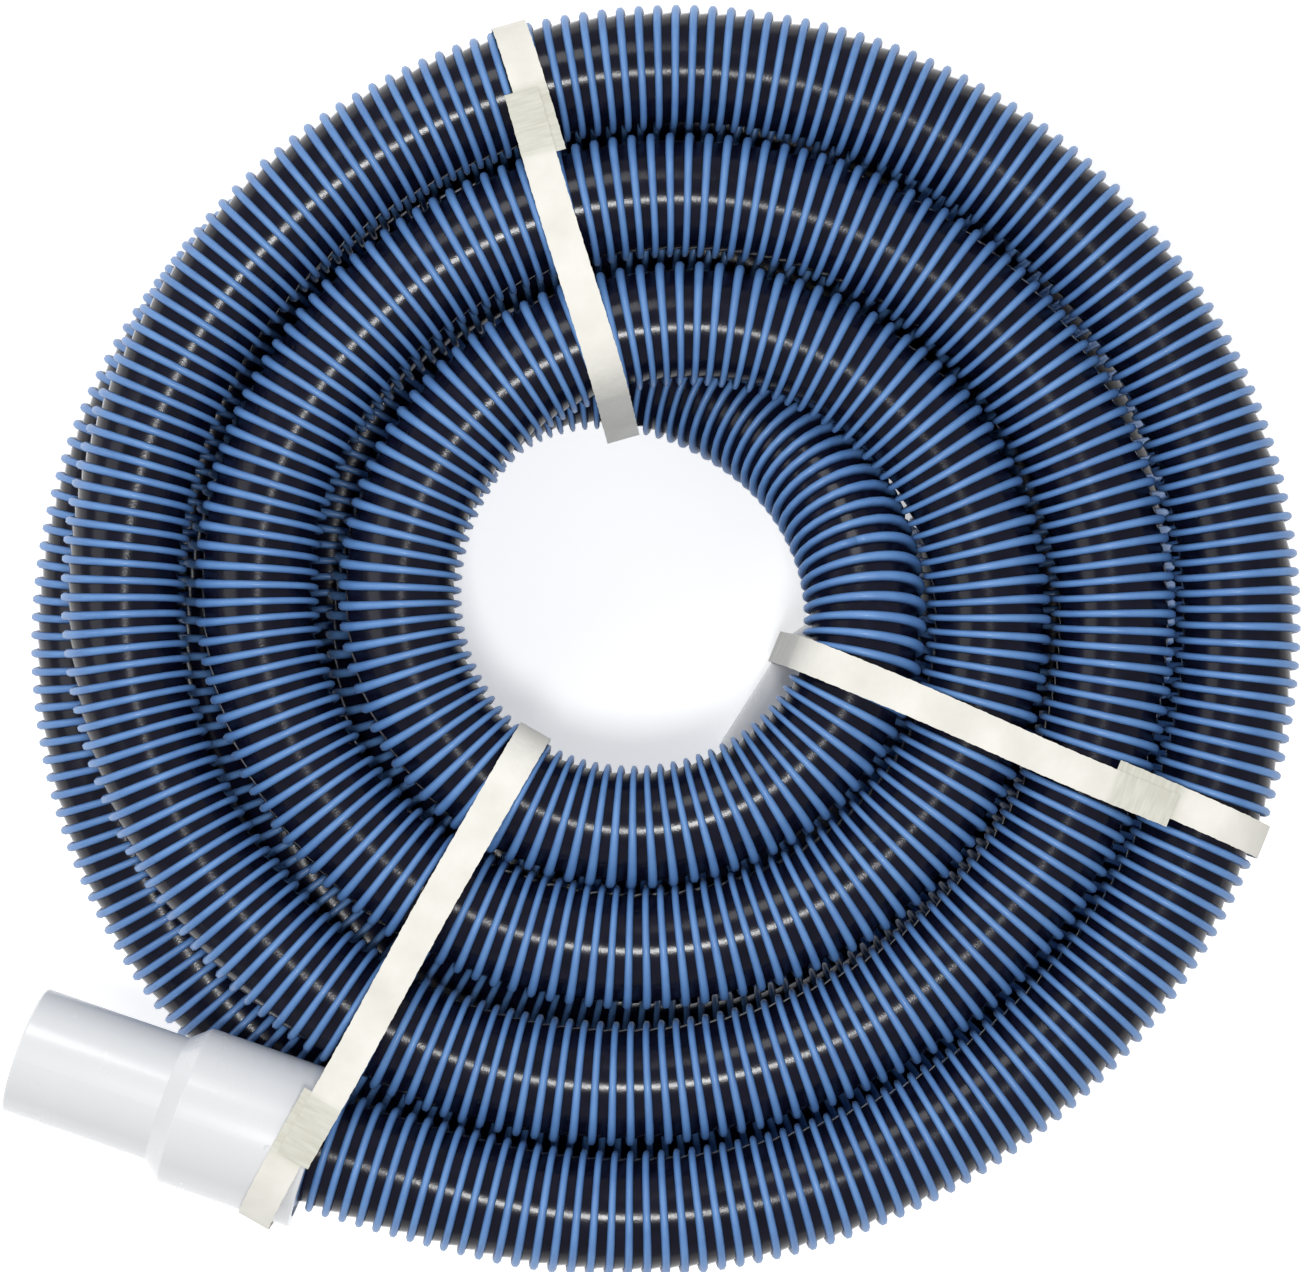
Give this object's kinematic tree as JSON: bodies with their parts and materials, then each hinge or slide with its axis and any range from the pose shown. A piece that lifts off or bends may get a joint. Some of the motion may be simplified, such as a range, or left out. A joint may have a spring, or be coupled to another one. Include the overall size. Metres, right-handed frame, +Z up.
{
  "type": "vacuum hose",
  "caption": "Coiled ribbed pool vacuum hose with a swivel cuff on one end and a fixed cuff on the other, tied flat with paper straps.",
  "frame": {"origin": "centre of the bounding box in plan, on the floor under the three straps", "axes": "+Z up out of the floor, coil lying flat; +X to the right and +Y away, with the swivel cuff towards -X and -Y"},
  "size_m": [0.4758, 0.475, 0.153],
  "materials": {
    "hose": "satin blue ribs on a dark web",
    "cuff": "gloss white",
    "collar": "matt white",
    "washer": "matt black",
    "strap": "matt ivory, fibrous"
  },
  "bodies": {
    "hose": {"hose_bottom_layer": "hose", "hose_outer_riser": "hose", "hose_middle_layer": "hose", "hose_inner_riser": "hose", "hose_top_layer": "hose", "fixed_cuff": "cuff", "swivel_collar": "collar", "tie_strap_top": "strap", "tie_strap_right": "strap", "tie_strap_left": "strap"},
    "swivel": {"swivel_cuff": "cuff", "swivel_retaining_ring": "collar", "swivel_seal_washer": "washer"}
  },
  "joints": [
    {"name": "swivel_spin", "type": "hinge", "parent": "hose", "child": "swivel", "pos_m": [-0.15195, -0.17569, 0.1226], "axis": [-0.945, 0.327, 0], "continuous": true}
  ]
}
